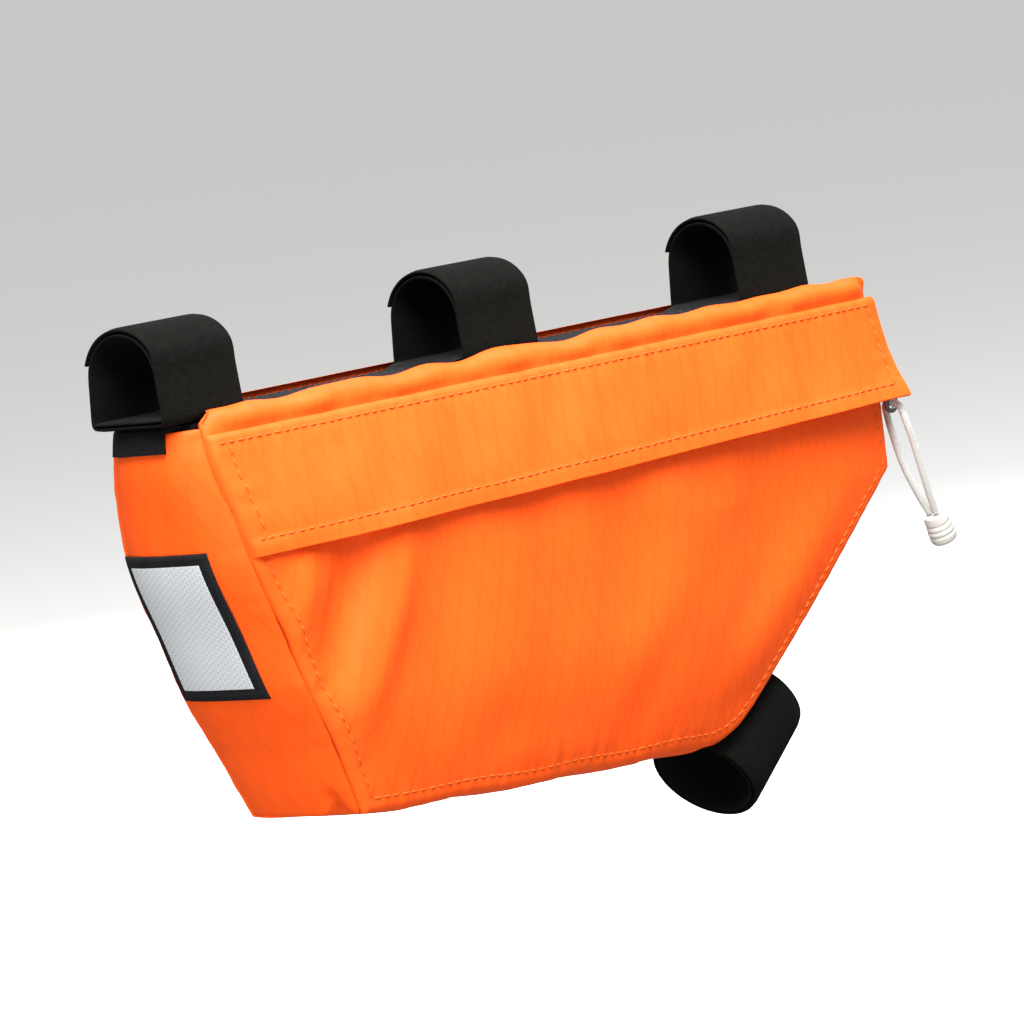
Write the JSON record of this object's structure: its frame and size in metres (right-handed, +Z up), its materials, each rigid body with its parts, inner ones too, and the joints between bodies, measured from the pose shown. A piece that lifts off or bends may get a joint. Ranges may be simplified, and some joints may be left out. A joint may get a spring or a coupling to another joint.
{
  "type": "bicycle frame bag",
  "caption": "Soft hollow frame bag that hangs under a bicycle's top tube by hook-and-loop straps, with a flap over its side zip, a cord pull and a strap round the down tube.",
  "frame": {"origin": "on the axis of the bicycle's top tube, at the middle of the middle strap", "axes": "+X forward along the top tube, +Y to the rider's left, +Z up from the bag through the tube"},
  "size_m": [0.3762, 0.0686, 0.2022],
  "materials": {
    "orange_laminate": "smooth coated cloth with a faint diamond grid",
    "black_cloth": "matt woven cloth",
    "black_webbing": "matt ribbed webbing",
    "black_strap": "matt brushed loop pile",
    "black_zip": "matt zip tape and coil",
    "slider_metal": "cast, satin",
    "pale_cord": "braided cord",
    "pull_plastic": "moulded, satin",
    "label_cloth": "matt woven patch"
  },
  "bodies": {
    "root": {"side_panel_left": "orange_laminate", "side_panel_right": "orange_laminate", "upper_strip_right": "orange_laminate", "rear_panel": "orange_laminate", "bottom_panel": "orange_laminate", "down_tube_panel": "orange_laminate", "front_panel": "orange_laminate", "storm_flap": "orange_laminate", "top_panel": "black_cloth", "top_webbing": "black_webbing", "strap_rear": "black_strap", "strap_middle": "black_strap", "strap_front": "black_strap", "strap_down_tube": "black_strap", "zip_tape": "black_zip", "zip_coil": "black_zip", "zip_slider": "slider_metal", "pull_cord_front": "pale_cord", "pull_cord_rear": "pale_cord", "pull_end": "pull_plastic", "label_patch": "label_cloth"}
  },
  "joints": []
}
